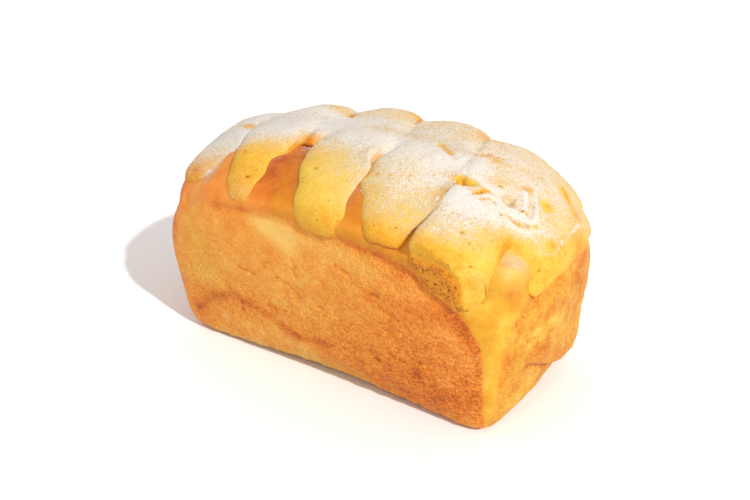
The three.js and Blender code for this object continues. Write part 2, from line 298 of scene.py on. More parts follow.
def sugar_on(skin, later=0.0):
    """How much of the surface the sugar hides, from 0 to 1. It fell from above, most on the crest."""
    place, turn, points = skin.place, skin.turn, skin.points
    uneven = rough(points, 15, 30)
    start = along_curve(place, SUGAR_START) + later
    full = along_curve(place, SUGAR_FULL)
    front = np.clip((turn + 4 * uneven - start) / (full - start), 0, 1)
    back_from = 4 - 22 * blend_in(place, 56, 74) + 14 * blend_in(place, -30, -60)
    back = 1 - 0.34 * blend_in(turn - 3 * uneven, back_from, back_from + 12)
    back -= 0.22 * blend_in(turn, 26, 50)
    amount = front ** 1.5 * back * along_curve(place, SUGAR_THICKNESS)
    amount = with_spots(amount, place, turn, SUGAR_PATCHES)
    broken = 1 + 0.8 * lumps(points, 2.6, 39)
    amount += broken * with_lines(0, place, turn, SUGAR_LINES)
    amount *= 1 + 0.16 * rough(points, 7, 35)
    return np.clip(amount, 0, 1) * blend_in(skin.normals[:, 2], -0.05, 0.45) * blend_in(turn, 66, 50)


def damp_on(skin):
    """How much the sugar is greyed as painted shade, from 0 to 1."""
    amount = np.zeros(len(skin.points))
    for at, half in SHADED_SUGAR_PLACES:
        amount = np.maximum(amount, spot(skin.place, skin.turn, at, half))
    return amount * (1 + 0.3 * rough(skin.points, 9, 70))


# ---- bread

# Paler and darker places of the front wall: (along, height), half sizes, and how much darker the bake is.
FRONT_PATCHES = [
    ((-6, 58), (40, 18), -0.12), ((-52, 60), (20, 14), -0.05), ((-40, 14), (40, 8), -0.1),
    ((-6, 8), (13, 4), -0.3), ((68, 67), (8, 6), 0.08), ((-30, 20), (40, 14), -0.06),
    ((-15.5, 83.5), (12.5, 6.5), -0.48), ((-10, 78.5), (6, 7), -0.2), ((-27, 86), (7, 4), -0.16),
    ((12, 83), (14, 6), -0.18), ((34, 81), (15, 6), -0.2), ((26, 75), (18, 6), -0.1),
    ((60, 74), (11, 6), -0.12), ((80, 54), (7, 5), -0.16), ((75, 27), (5, 4), -0.16),
    ((-72, 48), (8, 17), -0.16), ((-66, 72), (10, 9), -0.06), ((-20, 15), (26, 6), -0.1),
    ((-8, 12), (6, 4), -0.12), ((-5, 42), (14, 12), -0.08), ((-80, 17), (9, 7), 0.22),
    ((-66, 29), (14, 4), 0.2), ((-48, 35), (12, 4), 0.18), ((-30, 31), (10, 3.5), 0.16),
    ((-13, 22), (6, 3), 0.26), ((4, 24), (12, 3), 0.14), ((-40, 84), (12, 6), 0.1),
    ((-52, 88), (7, 3), 0.16), ((-36, 90), (5, 2), 0.22), ((36.8, 26), (1.8, 2.4), 0.32),
    ((57.3, 26), (2.6, 3.2), 0.3), ((75, 19), (9, 5), 0.16), ((72, 12), (16, 8), 0.06),
    ((80, 64), (6, 5), 0.1), ((55, 20), (30, 16), 0.12), ((60, 52), (26, 16), 0.08),
]

# Places of the front wall with a more golden hue, and dimples in it: (along, height), half sizes, change.
FRONT_GOLD = [((-6, 8), (13, 5), 0.35), ((-70, 50), (14, 24), 0.4)]
FRONT_DIMPLES = [((36.8, 26), (1.8, 2.4), -0.7), ((57.3, 26), (2.4, 3.2), -0.7)]

# Under this line the wall pressed against the tin; above it the dough rose free.
FRONT_RIM = [(-104, 64), (-92, 76), (-78, 83), (-66, 86), (-54, 88), (-40, 89.8), (-20, 90.8), (-4, 91.2),
             (10, 91), (25, 90.2), (38, 89), (48, 86.8), (58, 84.2), (66, 80), (74, 74.5), (81, 68),
             (87, 60), (91, 52)]

# The redder fold low in the front wall: its middle line.
LOW_FOLD = [(-84, 13), (-65, 31.5), (-51, 34), (-39, 31.6), (-28, 29), (-12, 23), (7, 25)]

# The band under the rim at the right: browner crust with painted shadow of the rim in it. Its middle line.
RIM_BAND = [(24, 90), (32, 89), (42, 87.5), (52, 85), (62, 80.5), (70, 75), (77, 69), (82, 62), (86, 54)]

# Fine cracks and wrinkles in the front wall: (along, height) points.
FRONT_CRACKS = [
    [(-45, 56), (-40, 54.6), (-34, 53.2)], [(-29, 61.5), (-22, 62.2)], [(-20, 60), (-16, 56), (-14, 50)],
    [(-37, 46.5), (-33, 45)], [(-48, 31), (-46.5, 24)], [(29, 68), (34, 66), (40, 64)],
    [(40, 58.6), (45, 56.4), (51, 54.8)], [(20, 75.5), (27, 72.5)], [(17, 56), (22, 53.5)],
    [(43, 30.6), (50, 31.6)], [(-8, 70), (-5, 61)], [(-60, 66), (-52, 63)], [(-12, 55), (-9, 51)],
    [(6, 47), (11, 44)], [(62, 44), (66, 41)], [(-28, 38), (-23, 36)], [(8, 62), (13, 59)],
    [(58, 63), (64, 60)],
]

# The rounded upright corners, which no side of the tin browned: how far along the loaf the front wall
# reaches to them, and how far across the end wall does, both by height.
CORNER_ALONG = [(0, 90.5), (7, 90.9), (23, 91.5), (43, 92), (55, 90.8), (60, 87), (69, 83.8), (76, 80),
                (84, 76), (95, 70)]
CORNER_ACROSS = [(0, 40.5), (6, 41.3), (17, 43.4), (26, 43), (38, 44), (53, 43.6), (62, 40), (67, 34.8),
                 (72, 31), (80, 27)]

# Patches, the rim line and the low crease of the right end: (across, height).
END_PATCHES = [
    ((-20, 52), (13, 7), -0.16), ((-30, 40), (7, 9), -0.06), ((8, 44), (10, 8), -0.08),
    ((32, 36), (10, 10), -0.1), ((-12, 17), (9, 6), -0.12), ((-14, 45), (6, 6), 0.16),
    ((16, 60), (9, 9), 0.14), ((-30, 30), (5, 10), 0.1), ((26, 22), (14, 6), -0.12),
    ((-6, 58), (5, 4), 0.12), ((-24, 62), (8, 5), -0.06), ((-30, 12), (14, 12), -0.12),
    ((-31, 33), (6, 8), -0.16), ((-16, 50), (9, 5), -0.2), ((-4, 49), (7, 5), -0.12),
]
END_RIM = [(-31, 71), (-28.5, 74), (-20, 75.5), (-8, 76), (10, 74.5), (22, 71.5), (30, 68)]
END_CREASE = [(-25, 32), (-17, 28.5), (-9, 24), (-2, 20.5), (6, 17), (15, 13.5)]
END_RIM_HEIGHT = 78

# Paler and darker places of the free crust and of the corners: (along, turn), half sizes, change.
# Both free crust places are painted: shade left of the second gap, light at the foot of the widest crease.
GAP_CRUST_LIGHT_AND_SHADE = [((-29, -32), (8, 16), 0.26), ((54, -46), (5, 9), -0.24)]
CORNER_PATCHES = [((90, -56), (7, 5), 0.14), ((89, -46), (6, 9), -0.22)]

# How far the crust rises in the gaps, in the notch beside the corner stripe, and in the widest crease.
DOME_RISE = 3.5
CORNER_RISE = 1.9
CREASE_RISE = 4.4

# Gaps in which the crust stays low: (along, turn), half sizes.
LOW_GAPS = [((-74, -40), (10, 16)), ((51, -42), (5, 12))]

# Sugar that lies on the crust in the gaps: (along, turn), half sizes, share.
CRUST_DUST = [
    ((-67.5, -41), (5, 9), 0.85), ((-66, -24), (7, 9), 0.95), ((-25, -13), (10, 9), 0.6),
    ((-33, -27), (4, 10), 0.34), ((89.5, -43.5), (5, 5), 0.5), ((90, -50), (5, 5), 0.18),
    ((-74, -57), (10, 6), 0.15),
]


class Crust(Skin):
    """The bread's skin with its zones: side and end walls, upright corners, and the dome above the rim."""

    def __init__(self, piece):
        super().__init__(piece)
        along, across, height = self.along, self.across, self.height
        # The back and the left end mirror what the front and the right end show, moved along a little.
        self.side_along = np.where(across > 0, -along * 0.96 + 6, along)
        self.end_across = np.where(along < 0, -across, across)
        self.left_end = blend_in(along, -60, -75)
        self.upright = blend_in(self.normals[:, 2], 0.72, 0.38)
        self.corner_along = along_curve(height, CORNER_ALONG)
        self.corner_across = along_curve(height, CORNER_ACROSS)
        self.end = self.upright * blend_in(np.abs(along) - self.corner_along, -0.8, 0.8)
        self.side = self.upright - self.end
        column = blend_in(np.abs(along), self.corner_along - 0.9, self.corner_along + 0.9)
        self.column = column * blend_in(np.abs(across), self.corner_across - 1.6, self.corner_across + 1.6)
        self.rim = along_curve(self.side_along, FRONT_RIM)
        above = blend_in(height, self.rim - 0.9, self.rim + 0.9) * self.side
        self.above_rim = np.maximum(above, 1 - self.upright) * (1 - self.column)
        self.shallow = line_spot(self.place, self.turn, WIDEST_CREASE, 3)
        self.find_lines()

    def find_lines(self):
        """Sets the foot, folds, cracks and creases of the walls, each 1 in its middle."""
        points, height, side_along = self.points, self.height, self.side_along
        foot = blend_in(height + 1.5 * lumps(points, 5, 60), 10, 5) * blend_in(side_along, -94, -74)
        self.foot = foot * (1 - 0.5 * blend_in(side_along, 20, 50))
        self.fold = line_spot(side_along, height + 1.5 * lumps(points, 9, 61), LOW_FOLD, 2.4)
        self.crease = self.end * line_spot(self.end_across, height, END_CREASE, 1.5)
        end_lines = wrinkles(points * np.array([0.5, 1, 1]), 9, 50) * self.end
        self.end_lines = end_lines * blend_in(np.abs(self.across), 46, 36) * blend_in(height, 72, 64)
        bent_along = side_along + 1.8 * lumps(points, 4.5, 62)
        bent_height = height + 1.8 * lumps(points, 4.5, 63)
        cracks = np.max([line_spot(bent_along, bent_height, line, 1) for line in FRONT_CRACKS], axis=0)
        self.cracks = cracks * self.side * np.clip(0.65 + 0.9 * lumps(points, 4, 64), 0, 1)
        slope = 0.35
        self.slanted = np.stack([0.42 * (self.along - slope * height), self.across,
                                 height + slope * self.along], axis=1)
        folds = wrinkles(self.slanted, 5, 65) * np.clip(0.3 + 1.2 * lumps(points, 10, 69), 0, 1)
        folds *= self.side * blend_in(self.rim - height, 6, 14)
        self.folds = folds * (0.35 + 0.65 * spot(side_along, height, (-20, 50), (50, 22)))

    def under_rim(self, half_height):
        """1 on the line where the side wall passes under the rim."""
        return np.exp(-((self.height - self.rim + 1.2) / half_height) ** 2) * self.side


# Each look is a pair. Bake: 0 is pale, 1 is deep brown. Gold: 0 is a rosy brown hue, 1 a golden orange one.

def side_look(crust):
    """Bake and gold of the long walls."""
    along, height = crust.side_along, crust.height
    bake = 0.40 + 0.11 * blend_in(along, -30, 60) + 0.05 * blend_in(height, 60, 20)
    bake = with_spots(bake, along, height, FRONT_PATCHES)
    # The rim band is partly painted shadow of the overhanging rim.
    bake += 0.20 * line_spot(along, height, RIM_BAND, 4) + 0.22 * crust.fold - 0.22 * crust.foot
    to_corner = crust.corner_along - np.abs(along)
    bake += 0.15 * np.exp(-(to_corner / 4.5) ** 2) * blend_in(height, 8, 30) * blend_in(along, 0, 40)
    bake += 0.12 * crust.under_rim(2.4) * blend_in(along, -72, -40)
    gold = 0.35 - 0.30 * blend_in(along, 30, 80) + 0.15 * crust.foot + 0.25 * crust.fold
    return np.stack([bake, with_spots(gold, along, height, FRONT_GOLD)])


def end_look(crust):
    """Bake and gold of the two ends."""
    across, height = crust.end_across, crust.height
    edge = np.exp(-((crust.corner_across + 0.5 - np.abs(across)) / 1.8) ** 2) * blend_in(height, 10, 20)
    band = line_spot(across, height, END_RIM, 2.6)
    # The left end is baked a little darker as painted shade: it faces away from the sun.
    bake = with_spots(0.42 + 0.12 * crust.left_end, across, height, END_PATCHES)
    # The end's wrinkles are darkened as painted shade in them.
    bake += 0.22 * edge + 0.18 * band + 0.16 * crust.end_lines
    gold = 0.90 - 0.6 * np.maximum(edge, band) - 0.75 * crust.left_end
    return np.stack([bake, gold])


def dome_look(crust):
    """Bake and gold of the crust that rose free, above the rim."""
    place, turn = crust.place, crust.turn
    bake = 0.55 + 0.16 * blend_in(turn, -53, -44) - 0.16 * blend_in(crust.along, -40, -75)
    gold = 0.25 + 0.75 * blend_in(place + 0.30 * (turn + 40), -26, -18)
    return np.stack([with_spots(bake, place, turn, GAP_CRUST_LIGHT_AND_SHADE), np.where(place < -45, 0.15, gold)])


def corner_look(crust):
    """Bake and gold of the rounded upright corners."""
    bake = 0.27 + 0.08 * spot(np.abs(crust.along), crust.height, (90, 66), (8, 10))
    bake = with_spots(bake, crust.place, crust.turn, CORNER_PATCHES)
    bake += 0.26 * crust.left_end - 0.05 * blend_in(crust.height, 30, 8)
    return np.stack([bake, 1 - 0.85 * crust.left_end])


def crust_look(crust):
    """Bake and gold of the whole bread."""
    points, place, turn, end = crust.points, crust.place, crust.turn, crust.end
    look = side_look(crust) * crust.side + end_look(crust) * end
    look[0] += 0.5 * (1 - crust.upright)
    look += crust.above_rim * (dome_look(crust) - look)
    look += crust.column * (corner_look(crust) - look)
    bake, gold = look
    gold -= 0.9 * spot(place, turn, (89.5, -44), (5, 5)) * crust.column
    # Paler at the notch top; in the widest crease the paler crust is painted light against its shade.
    bake -= 0.30 * spot(place, turn, (90, -36), (8, 5)) + 0.30 * line_spot(place, turn, WIDEST_CREASE, 4)
    # The folds, cracks and end crease are darkened as painted shade in these grooves.
    bake += 0.16 * crust.folds + 0.26 * crust.cracks + 0.32 * crust.crease
    bake += 0.10 * rough(points, 22, 1) + (0.12 + 0.14 * end) * rough(points, 8, 2)
    bake += 0.14 * end * (1 - crust.column) * rough(points, 3, 6, 2)
    return bake, gold


def crust_grain(crust):
    """How pebbly the crust is, from 0 to 1."""
    along, height = crust.side_along, crust.height
    grain = 0.35 + 0.45 * blend_in(height, 78, 30) + 0.25 * blend_in(along, -40, 40) + 0.25 * crust.foot
    grain = np.where(crust.end > crust.side, 0.75, grain)
    grain *= crust.upright * (1 - crust.above_rim) * (1 - crust.column)
    grain *= 1 - 0.6 * spot(along, height, (-15, 84), (15, 9)) * crust.side
    return np.maximum(grain, 0.10 * crust.upright)


def end_overhang(crust):
    """The end wall bulges over the crease low in it, and draws in below it."""
    across = crust.end_across
    above = crust.height - along_curve(across, END_CREASE)
    overhang = 2.4 * blend_in(above, -0.5, 4) * blend_in(above, 26, 6)
    overhang -= blend_in(above, 0.5, -3) * blend_in(above, -14, -5)
    return crust.end * overhang * blend_in(across, -30, -12) * blend_in(across, 44, 24)


def dome_swelling(crust):
    """How far the crust that rose free swells up between the stripes."""
    place, turn = crust.place, crust.turn
    over_rim = crust.height - np.where(np.abs(crust.along) < 80, crust.rim, END_RIM_HEIGHT)
    swelling = DOME_RISE * blend_in(over_rim, -4, 5) * blend_in(np.abs(turn), 20, 34)
    for at, half in LOW_GAPS:
        swelling *= 1 - 0.8 * spot(place, turn, at, half)
    swelling *= 1 - 0.7 * blend_in(turn, 5, 20)
    corner = blend_in(place, 84.5, 89.5) * blend_in(place + 0.5 * (turn + 36), 96, 91)
    corner *= blend_in(turn, -66, -48) * blend_in(turn, -34, -41)
    swelling += corner * (CORNER_RISE + 0.9 * rough(crust.points, 5, 9, 2))
    swelling += 2.6 * spot(place, turn, (57.5, -47), (3.5, 8))
    return swelling + CREASE_RISE * crust.shallow * blend_in(turn, -8, -14)


def crust_relief(crust, grain):
    """How far the crust stands out from the solid, in millimetres."""
    points, side, along, height = crust.points, crust.side, crust.side_along, crust.height
    streaky = side * spot(along, height, (-22, 52), (48, 24))
    relief = 0.35 * rough(points, 24, 3) * crust.upright
    relief += (0.12 + 0.30 * grain) * rough(points, 6, 4)
    relief += 0.40 * grain * streaky * rough(crust.slanted, 3.4, 8, 2)
    relief += 0.26 * grain * (1 - 0.5 * streaky) * rough(points, 2.9, 7, 2)
    relief -= 0.40 * crust.folds + 0.60 * crust.cracks + 1.3 * crust.crease + 0.6 * crust.end_lines
    relief -= 0.25 * crust.under_rim(2) * blend_in(along, -70, -40)
    relief += side * with_spots(0, along, height, FRONT_DIMPLES)
    relief += end_overhang(crust) + dome_swelling(crust)
    return relief * blend_in(height, 0.2, 2)


def crust_dust(crust):
    """How much sugar lies on the crust in the gaps and beside the stripes."""
    place, turn = crust.place, crust.turn
    dust = sugar_on(crust, 9) * (1 - 0.8 * spot(place, turn, (55, -44), (4.5, 10)))
    dust *= (1 - 0.75 * blend_in(turn, 6, 20)) * blend_in(np.abs(place), 102, 94)
    for at, half, share in CRUST_DUST:
        dust = np.maximum(dust, share * spot(place, turn, at, half))
    return np.maximum(dust, 0.80 * crust.shallow)


def bread_looks(piece):
    crust = Crust(piece)
    bake, gold = crust_look(crust)
    grain = crust_grain(crust)
    crust.push(crust_relief(crust, grain))
    # Low in the gaps the crust's sugar is damp; the other greyed places are painted shade.
    damp = np.maximum(damp_on(crust), blend_in(crust.turn, -30, -36))
    crust.paint(damp=damp, bake=bake, gold=gold, grain=grain, sugar=crust_dust(crust))


# ---- topping

# Larger burst bubbles that stand out: (along, turn), radius and depth.
BUBBLES = [
    ((-40.5, -43.5), 0.9, 0.8), ((-34.5, -40.5), 1, 0.9), ((-2, -34), 0.8, 0.7), ((10, -52), 0.5, 0.5),
    ((27, -29), 0.6, 0.5), ((40, -25), 0.6, 0.5), ((74.4, -41.4), 0.8, 0.6), ((55.7, -35), 0.9, 0.7),
    ((-60, 2), 0.8, 0.6), ((-41, 4), 0.8, 0.6), ((73.3, -9), 0.9, 0.8), ((76, -20.8), 0.7, 0.6),
    ((80, -25.2), 0.7, 0.5), ((84.9, -12.9), 1.1, 0.9), ((61.5, -18.8), 1, 0.6), ((64, -19.2), 1, 0.7),
    ((71.2, -18.8), 0.8, 0.5), ((92, -44), 0.9, 0.8), ((100, -36), 0.9, 0.7), ((80, -52), 0.7, 0.5),
]
# Smaller ones, in the side face and all over the stripes: how many, and their radius.
FACE_BUBBLES = 120
STRIPE_BUBBLES = 150
BUBBLE_RADIUS = (0.30, 0.50)

# Where the batter baked darker or stayed paler, and one painted place: (along, turn), half sizes, change.
DOME_PATCHES = [
    ((6, -38), (11, 9), -0.14), ((10, -53), (12, 4), 0.02), ((-45, -40), (11, 14), 0.2),
    ((-44, -53), (9, 4), 0.06), ((-80, -44), (13, 12), 0.4), ((-94, -40), (10, 20), 0.2),
    # The paler place at (56, -47) is painted light on the shaded left wall of a stripe beside the widest
    # crease.
    ((42, -52), (11, 5), 0.24), ((56, -47), (4, 9), -0.12), ((-26, -16), (5.5, 4.5), 0.55),
    ((84, -56), (6, 9), -0.36), ((70, -50), (9, 3.5), 0.16), ((104, -24), (4, 22), 0.15),
    ((101, -38), (4, 6), 0.08), ((88, -36), (4, 6), 0.26), ((105, 14), (5, 12), 0.16),
    ((96, -42), (3, 5), 0.26), ((99, -16), (2.4, 4), 0.3), ((88.3, 3), (2.4, 2.8), 0.1),
    ((86, 28), (3.5, 5), 0.3), ((94, 27), (4, 6), 0.28), ((80, 1.5), (2.4, 2), 0.5),
    ((60.5, -17), (7, 2.4), -0.06), ((-3, 38), (7, 12), 0.22), ((41, 33), (6, 10), 0.22),
    ((-38, 17), (12, 6), 0.14), ((58, 7), (7, 3.6), 0.36), ((-68, -13), (6, 2.6), 0.3),
    ((69, -21), (3.5, 1.2), 0.2), ((72, -17), (3, 1), 0.2), ((-30, 36), (14, 8), 0.1),
    ((6, 38), (12, 8), 0.1), ((44, 34), (8, 12), 0.14), ((109, 20), (5, 12), 0.25),
]
# Grooves in the topping: (along, turn) points, half width, depth, and how much darker they are.
DOME_GROOVES = [
    ([(94.4, -40), (95.9, -45.2), (98.1, -50.2), (101, -53)], 0.8, 0.4, 0.16),
    ([(81.5, -22.7), (84.1, -22.9), (86.4, -21.2), (88, -17.2)], 1, 1, 0.3), (CREST_CRACK, 1.2, 0.8, 0.18),
    ([(82.5, 0), (85, -6), (86.8, -12.5)], 0.9, 0.8, 0.16),
    ([(77.3, -11), (77.8, -14), (79, -15.5)], 1.1, 1.2, 0.1), (TEAR_EDGE, 0.9, 0.7, 0.25),
    (SHORT_TEAR, 0.8, 0.5, 0.16), ([(55.8, -18), (58, -16.6), (61, -17)], 1.5, 1.2, 0.12),
    ([(64, -19), (66.6, -16.9)], 1.1, 0.8, 0.14), (THIRD_GAP, 2.2, 0.2, 0.36),
]

# Where the gaps between the stripes run out, short of the crest: (along, turn) points.
GAP_HEADS = [[(12, -18), (17, -28), (20, -35)], [(54, -14), (55, -26), (55, -36)], [(-66, -22), (-66, -34)],
             [(-25, -12), (-27, -22)], [(6, 22), (4, 30)], [(-28, 20), (-31, 28)], [(48, 20), (46, 28)]]

# Where the side of a stripe stands further along the loaf: (along, turn) points, half width, how far.
SIDE_BULGES = [
    ([(-77, -50), (-73, -42), (-69, -30)], 6.5, 6.6), ([(-35, -54), (-36, -42)], 6, 5.6),
    ([(-36, -38), (-36, -28)], 5, 2.4), ([(-37, -26), (-36, -20)], 4, 3),
    ([(-16, -20), (-9, -33)], 6.5, -4), ([(17.5, -47), (16.5, -40), (15.5, -28)], 6.5, 4.4),
    ([(-2.5, -56), (-4, -48)], 6, -2.2), ([(15, -56), (18, -50)], 5, 4.4),
    ([(34, -52), (30, -46), (24, -37)], 5, -2.2), ([(22, -32), (20, -22)], 5.5, -4),
    ([(49.5, -53), (53, -42), (53.5, -36)], 5.5, 4), ([(54, -36), (54.5, -16)], 5.5, 4.2),
    ([(59.5, -36), (60, -18)], 4.5, -2.2), ([(60, -54), (59, -46)], 5.5, -3),
]

# How deep the ends of the stripes sit in the crust, by place along, and how deep all of the underside does.
SUNK_ENDS = [(-90, 1), (-60, 1), (-50, 1.8), (-30, 1.8), (-15, 2.3), (20, 2.3), (30, 0.5), (54, 0.5),
             (57, 0)]
UNDERSIDE_DROP = 0.6

# Raised rims of the flake: (along, turn) points, half width, how high they stand.
FLAKE_RIMS = [(FLAKE_LEFT, 1, 1.1), ([(79.5, 1)] + FLAKE_RIGHT, 1, 1.2)]

# The powdered edge of the first stripe beside its gap: (along, turn) points.
FIRST_GAP_EDGE = [(-64, -28), (-68, -38), (-73, -44)]

# The front wall of the tin, and how far the topping draws back from it past the end of its side face.
TIN_HALF_WIDTH = 45.5
TIN_FLARE = 0.16
FACE_SLOPE = 0.8

# The edge of the side face that stood against the tin: (along, height) points, the first five along its
# top. How far along the face reaches: (height, along).
FACE_EDGE = [(54, 90.5), (62, 93), (73, 92), (79, 89.5), (83, 86), (85.2, 81), (85.4, 73), (81, 66)]
FACE_END = [(66, 83), (75, 85), (83, 84.6), (88, 83), (91, 80)]


class Batter(Skin):
    """The topping's skin, with the flat side face that stood against the tin."""

    def __init__(self, piece):
        super().__init__(piece)
        self.facing = np.sum(self.outward * self.normals, axis=1)
        self.to_front = -self.normals[:, 1]
        self.below_edge = along_curve(self.along, FACE_EDGE[:5]) - self.height
        self.past_face = self.along - along_curve(self.height, FACE_END)
        flat = blend_in(self.to_front, 0.80, 0.93) * blend_in(self.along, 57, 60)
        self.side_face = flat * blend_in(self.below_edge, -1, 2.2) * blend_in(-self.past_face, -1, 2)


def batter_bake(batter):
    """Bake of the stripes: 0 is pale yellow, 1 is brown."""
    points, place, turn, side_face = batter.points, batter.place, batter.turn, batter.side_face
    bake = 0.36 + 0.22 * blend_in(np.abs(turn), 44, 58) + 0.22 * blend_in(batter.facing, 0.75, 0.30)
    bake = with_spots(bake, place, turn, DOME_PATCHES)
    bake += side_face * (0.84 - bake)
    bake += 0.04 * side_face * blend_in(batter.below_edge, 5, 16)
    bake += 0.10 * rough(points, 14, 11) + 0.08 * rough(points, 4, 12)
    return with_lines(bake, place, turn, [(line, half, darker) for line, half, _, darker in DOME_GROOVES])


def batter_relief(batter):
    """How far the stripes stand out from the solid, in millimetres, without their burst bubbles."""
    points, place, turn = batter.points, batter.place, batter.turn
    relief = 0.40 * rough(points, 15, 13) + 0.18 * rough(points, 4.5, 14)
    relief += 0.10 * lumps(points, 1.8, 18)
    relief *= 1 - 0.5 * batter.side_face
    relief = with_lines(relief, place, turn, [(line, half, -depth) for line, half, depth, _ in DOME_GROOVES])
    relief = with_lines(relief, place, turn, FLAKE_RIMS)
    relief = with_lines(relief, place, turn, [(line, 3, 1.3) for line in GAP_HEADS])
    torn = spot(place, turn, TORN_PLACE, (6.5, 3)) + spot(place, turn, UNDER_FLAKE, (9, 9))
    relief += 0.8 * torn * rough(points, 2.8, 19, 2) - 0.6 * spot(place, turn, UNDER_FLAKE, (3.5, 5))
    relief -= 0.5 * spot(place, turn, (88.3, 3), (2.4, 2.8))
    edge = line_spot(batter.along, batter.height, FACE_EDGE, 2.4)
    return relief - 0.9 * edge * blend_in(batter.to_front, 0.15, 0.45) * blend_in(batter.along, 56, 60)


def crease_filling(batter):
    """Above the front slope the two widest stripes ran together, so the crease between them is filled up."""
    place, turn, facing = batter.place, batter.turn, batter.facing
    radius = np.hypot(batter.across, batter.height - MIDDLE_HEIGHT)
    beside = (np.abs(np.abs(place - CREASE_AT) - 7) < 2) & (facing > 0.85) & (np.abs(turn + 15) < 30)
    level = np.polyval(np.polyfit(turn[beside], radius[beside], 3), turn) - 0.4
    crease = np.exp(-((place - CREASE_AT) / 4.5) ** 2) * blend_in(turn, -40, -32) * blend_in(turn, 14, 4)
    crease *= blend_in(facing, 0, 0.15) * (1 - spot(place, turn, TORN_PLACE, (5.5, 3)))
    return np.maximum(level - radius, 0) * crease


def sunk_ends(batter):
    """How deep the ends of the stripes and the edges beside the corner sit in the crust."""
    place, turn, height = batter.place, batter.turn, batter.height
    sunk = along_curve(place, SUNK_ENDS) * blend_in(np.abs(turn), 46, 56)
    sunk += 2.2 * blend_in(turn, -54, -62) * blend_in(batter.along, 84, 87)
    sunk += line_spot(place, turn, [(89.5, -34), (87.2, -46), (87.2, -58)], 3) * (1 - batter.side_face)
    sunk += 0.6 * line_spot(place, turn, [(91, -34), (94.5, -43), (98, -50)], 3)
    return sunk + 1.4 * blend_in(height, 84, 77) * blend_in(place, 96, 100)


def tin_cut(batter):
    """How far the batter past the end of the side face draws back from where the tin stood."""
    wall = TIN_HALF_WIDTH + TIN_FLARE * batter.height - FACE_SLOPE * np.maximum(batter.past_face, 0)
    cut = np.maximum(-batter.across - wall, 0)
    return cut * blend_in(batter.past_face, 0, 1) * blend_in(batter.height, 97, 92)


def bubble_dents(batter):
    """The burst bubbles one by one: how deep each is, and a value that is 1 in its middle."""
    place, turn, side_face = batter.place, batter.turn, batter.side_face
    for at, radius, depth in BUBBLES:
        yield depth, spot(place, turn, at, (radius, radius))
    draw = np.random.default_rng(SEED)
    for _ in range(FACE_BUBBLES):
        at_along = draw.uniform(59, 84)
        at_height = along_curve(at_along, FACE_EDGE[:5]) - 17 * draw.uniform(0.10, 1) ** 0.6
        radius = draw.uniform(*BUBBLE_RADIUS)
        dent = spot(batter.along, batter.height, (at_along, at_height), (radius * 1.2, radius))
        yield 0.9 * radius, dent * side_face
    for _ in range(STRIPE_BUBBLES):
        at = (draw.uniform(-90, 106), draw.uniform(-54, 30))
        radius = draw.uniform(*BUBBLE_RADIUS)
        yield 0.7 * radius, spot(place, turn, at, (radius, radius * 1.1)) * (1 - side_face)


def topping_looks(piece):
    batter = Batter(piece)
    place, turn, side_face = batter.place, batter.turn, batter.side_face
    relief = batter_relief(batter)
    pits = np.zeros(len(place))
    for depth, dent in bubble_dents(batter):
        relief -= depth * dent
        pits = np.maximum(pits, dent)
    relief = np.where(blend_in(batter.facing, -0.1, -0.5) > 0.5, UNDERSIDE_DROP, relief)
    bulge = with_lines(0, place, turn, SIDE_BULGES)
    batter.push(relief, sunk_ends(batter) - crease_filling(batter), bulge, tin_cut(batter))
    dust = sugar_on(batter) * (1 - 0.8 * pits) * (1 - side_face)
    dust = np.maximum(dust, 0.8 * line_spot(place, turn, FIRST_GAP_EDGE, 4))
    # On the topping the greyed sugar is painted shade only.
    batter.paint(bake=batter_bake(batter), pits=pits, pitted=side_face, sugar=dust, damp=damp_on(batter))


# ---- materials

def new_material(name):
    material = bpy.data.materials.new(name)
    material.use_nodes = True
    material.node_tree.nodes.clear()
    return material, material.node_tree


def set_input(tree, socket, value):
    if isinstance(value, bpy.types.NodeSocket):
        tree.links.new(value, socket)
    else:
        socket.default_value = value


def add_node(tree, kind, values=None, **settings):
    node = tree.nodes.new(kind)
    for name, value in settings.items():
        setattr(node, name, value)
    for key, value in (values or {}).items():
        set_input(tree, node.inputs[key], value)
    return node


def math_node(tree, operation, first, second=0, clamp=False):
    node = add_node(tree, "ShaderNodeMath", {0: first, 1: second}, operation=operation, use_clamp=clamp)
    return node.outputs[0]


def add(tree, *terms):
    """The sum of all terms."""
    total = terms[0]
    for term in terms[1:]:
        total = math_node(tree, "ADD", total, term)
    return total


def times(tree, first, second):
    return math_node(tree, "MULTIPLY", first, second)


def swing(tree, value, strength):
    """A texture turned into a change round 0."""
    return times(tree, math_node(tree, "SUBTRACT", value, 0.5), strength)


def mix_colour(tree, factor, first, second):
    node = add_node(tree, "ShaderNodeMix", data_type="RGBA")
    for index, value in ((0, factor), (6, first), (7, second)):
        set_input(tree, node.inputs[index], (*value, 1) if isinstance(value, tuple) else value)
    return node.outputs[2]


def shade_by(tree, colour, factor):
    """Makes a colour lighter or darker by a factor."""
    node = add_node(tree, "ShaderNodeMix", data_type="RGBA", blend_type="MULTIPLY")
    for index, value in ((0, 1), (6, colour), (7, factor)):
        set_input(tree, node.inputs[index], value)
    return node.outputs[2]


def colour_ramp(tree, factor, stops):
    node = add_node(tree, "ShaderNodeValToRGB", {0: factor})
    ramp = node.color_ramp
    while len(ramp.elements) < len(stops):
        ramp.elements.new(0.5)
    for element, (place, colour) in zip(ramp.elements, stops):
        element.position = place
        element.color = (*colour, 1)
    return node.outputs[0]


def spread(tree, factor, low, high, start=0, end=1):
    node = add_node(tree, "ShaderNodeMapRange", {0: factor, 1: low, 2: high, 3: start, 4: end}, clamp=True)
    return node.outputs[0]


def noise(tree, place, scale, detail=2, roughness=0.5):
    return add_node(tree, "ShaderNodeTexNoise",
                    {"Vector": place, "Scale": scale, "Detail": detail, "Roughness": roughness}).outputs[0]


